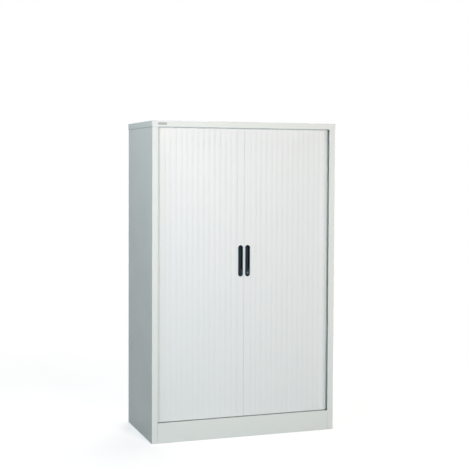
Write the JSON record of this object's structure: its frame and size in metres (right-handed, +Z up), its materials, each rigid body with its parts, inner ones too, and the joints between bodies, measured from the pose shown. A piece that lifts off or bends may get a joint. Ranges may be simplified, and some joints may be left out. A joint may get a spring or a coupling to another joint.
{
  "type": "tambour door cupboard",
  "caption": "Tall steel storage cupboard with side-opening tambour curtains of upright slats, dark finger-pull handles, a cam lock, plinth, shelves and levelling feet",
  "frame": {"origin": "middle of the cupboard's footprint, on the floor it stands on", "axes": "+Z up, +X to the cupboard's right as seen from its front, front towards -Y"},
  "size_m": [1.016, 0.508, 1.651],
  "materials": {
    "carcass_paint": "powder-coated off-white sheet steel, fine satin texture",
    "slat_plastic": "extruded cool white PVC, satin",
    "track_plastic": "extruded mid-grey nylon, matt",
    "handle_plastic": "moulded dark blue-grey ABS, fine texture",
    "lock_metal": "black-nickel-plated zinc die casting",
    "zinc_plated_steel": "bright zinc plating"
  },
  "bodies": {
    "carcass": {"lid": "carcass_paint", "left_side_panel": "carcass_paint", "right_side_panel": "carcass_paint", "back_panel": "carcass_paint", "back_rivets": "zinc_plated_steel", "plinth": "carcass_paint", "base_panel": "carcass_paint", "top_panel": "carcass_paint", "bottom_track": "track_plastic", "top_track": "track_plastic", "left_liner": "carcass_paint", "right_liner": "carcass_paint", "shelf_clips": "zinc_plated_steel", "shelf_1": "carcass_paint", "shelf_2": "carcass_paint", "shelf_3": "carcass_paint", "foot_brackets": "zinc_plated_steel"},
    "left_lead": {"left_lead_slat": "slat_plastic", "left_handle": "handle_plastic", "lock_keeper": "zinc_plated_steel"},
    "right_lead": {"right_lead_slat": "slat_plastic", "right_handle": "handle_plastic"},
    "lock": {"lock_barrel": "lock_metal", "lock_cam": "zinc_plated_steel"},
    "left_slat_01_body": {"left_slat_01": "slat_plastic"},
    "left_slat_02_body": {"left_slat_02": "slat_plastic"},
    "left_slat_run": {"left_slat_03": "slat_plastic", "left_slat_04": "slat_plastic", "left_slat_05": "slat_plastic", "left_slat_06": "slat_plastic", "left_slat_07": "slat_plastic", "left_slat_08": "slat_plastic", "left_slat_09": "slat_plastic", "left_slat_10": "slat_plastic", "left_slat_11": "slat_plastic", "left_slat_12": "slat_plastic", "left_slat_13": "slat_plastic", "left_slat_14": "slat_plastic"},
    "left_slat_15_body": {"left_slat_15": "slat_plastic"},
    "left_slat_16_body": {"left_slat_16": "slat_plastic"},
    "right_slat_01_body": {"right_slat_01": "slat_plastic"},
    "right_slat_02_body": {"right_slat_02": "slat_plastic"},
    "right_slat_run": {"right_slat_03": "slat_plastic", "right_slat_04": "slat_plastic", "right_slat_05": "slat_plastic", "right_slat_06": "slat_plastic", "right_slat_07": "slat_plastic", "right_slat_08": "slat_plastic", "right_slat_09": "slat_plastic", "right_slat_10": "slat_plastic", "right_slat_11": "slat_plastic", "right_slat_12": "slat_plastic", "right_slat_13": "slat_plastic", "right_slat_14": "slat_plastic"},
    "right_slat_15_body": {"right_slat_15": "slat_plastic"},
    "right_slat_16_body": {"right_slat_16": "slat_plastic"},
    "foot_front_left_body": {"foot_front_left": "zinc_plated_steel"},
    "foot_front_right_body": {"foot_front_right": "zinc_plated_steel"},
    "foot_rear_left_body": {"foot_rear_left": "zinc_plated_steel"},
    "foot_rear_right_body": {"foot_rear_right": "zinc_plated_steel"}
  },
  "joints": [
    {"name": "left_curtain_slide", "type": "slide", "parent": "carcass", "child": "left_lead", "axis": [-1, 0, 0], "range_m": [0, 0.4184], "deforming": ["left_slat_01", "left_slat_02", "left_slat_03", "left_slat_04", "left_slat_05", "left_slat_06", "left_slat_07", "left_slat_08", "left_slat_09", "left_slat_10", "left_slat_11", "left_slat_12", "left_slat_13", "left_slat_14", "left_slat_15", "left_slat_16"]},
    {"name": "right_curtain_slide", "type": "slide", "parent": "carcass", "child": "right_lead", "axis": [1, 0, 0], "range_m": [0, 0.4184], "deforming": ["right_slat_01", "right_slat_02", "right_slat_03", "right_slat_04", "right_slat_05", "right_slat_06", "right_slat_07", "right_slat_08", "right_slat_09", "right_slat_10", "right_slat_11", "right_slat_12", "right_slat_13", "right_slat_14", "right_slat_15", "right_slat_16"]},
    {"name": "left_knuckle_01", "type": "hinge", "parent": "left_lead", "child": "left_slat_01_body", "pos_m": [-0.0385, -0.2194, 0.8628], "axis": [0, 0, -1], "range_deg": [0, 22.03]},
    {"name": "left_knuckle_02", "type": "hinge", "parent": "left_slat_01_body", "child": "left_slat_02_body", "pos_m": [-0.0685, -0.2194, 0.8628], "axis": [0, 0, -1], "range_deg": [0, 44.06]},
    {"name": "left_run_turn", "type": "hinge", "parent": "left_lead", "child": "left_slat_run", "pos_m": [-0.06915, -0.21008, 0.8628], "axis": [0, 0, -1], "range_deg": [0, 90]},
    {"name": "left_knuckle_15", "type": "hinge", "parent": "left_slat_run", "child": "left_slat_15_body", "pos_m": [-0.4585, -0.21937, 0.8628], "axis": [0, 0, -1], "range_deg": [-24.32, 0]},
    {"name": "left_knuckle_16", "type": "hinge", "parent": "left_slat_15_body", "child": "left_slat_16_body", "pos_m": [-0.48584, -0.20702, 0.8628], "axis": [0, 0, -1], "range_deg": [-44.06, 0]},
    {"name": "right_knuckle_01", "type": "hinge", "parent": "right_lead", "child": "right_slat_01_body", "pos_m": [0.0385, -0.2194, 0.8628], "axis": [0, 0, 1], "range_deg": [0, 22.03]},
    {"name": "right_knuckle_02", "type": "hinge", "parent": "right_slat_01_body", "child": "right_slat_02_body", "pos_m": [0.0685, -0.2194, 0.8628], "axis": [0, 0, 1], "range_deg": [0, 44.06]},
    {"name": "right_run_turn", "type": "hinge", "parent": "right_lead", "child": "right_slat_run", "pos_m": [0.06915, -0.21008, 0.8628], "axis": [0, 0, 1], "range_deg": [0, 90]},
    {"name": "right_knuckle_15", "type": "hinge", "parent": "right_slat_run", "child": "right_slat_15_body", "pos_m": [0.4585, -0.21937, 0.8628], "axis": [0, 0, 1], "range_deg": [-24.32, 0]},
    {"name": "right_knuckle_16", "type": "hinge", "parent": "right_slat_15_body", "child": "right_slat_16_body", "pos_m": [0.48584, -0.20702, 0.8628], "axis": [0, 0, 1], "range_deg": [-44.06, 0]},
    {"name": "lock_turn", "type": "hinge", "parent": "right_lead", "child": "lock", "pos_m": [0.0196, -0.2274, 0.8615], "axis": [0, -1, 0], "range_deg": [-90, 0]},
    {"name": "foot_front_left_screw", "type": "slide", "parent": "carcass", "child": "foot_front_left_body", "axis": [0, 0, -1], "range_m": [0, 0.012]},
    {"name": "foot_front_right_screw", "type": "slide", "parent": "carcass", "child": "foot_front_right_body", "axis": [0, 0, -1], "range_m": [0, 0.012]},
    {"name": "foot_rear_left_screw", "type": "slide", "parent": "carcass", "child": "foot_rear_left_body", "axis": [0, 0, -1], "range_m": [0, 0.012]},
    {"name": "foot_rear_right_screw", "type": "slide", "parent": "carcass", "child": "foot_rear_right_body", "axis": [0, 0, -1], "range_m": [0, 0.012]}
  ],
  "couplings": [
    {"joint": "left_knuckle_01", "follows": "left_curtain_slide", "rad_per_m": 0.91873},
    {"joint": "left_knuckle_02", "follows": "left_curtain_slide", "rad_per_m": 1.8375},
    {"joint": "left_run_turn", "follows": "left_curtain_slide", "rad_per_m": 3.7539},
    {"joint": "left_knuckle_15", "follows": "left_curtain_slide", "rad_per_m": -1.014},
    {"joint": "left_knuckle_16", "follows": "left_curtain_slide", "rad_per_m": -1.8374},
    {"joint": "right_knuckle_01", "follows": "right_curtain_slide", "rad_per_m": 0.91873},
    {"joint": "right_knuckle_02", "follows": "right_curtain_slide", "rad_per_m": 1.8375},
    {"joint": "right_run_turn", "follows": "right_curtain_slide", "rad_per_m": 3.7539},
    {"joint": "right_knuckle_15", "follows": "right_curtain_slide", "rad_per_m": -1.014},
    {"joint": "right_knuckle_16", "follows": "right_curtain_slide", "rad_per_m": -1.8374}
  ]
}
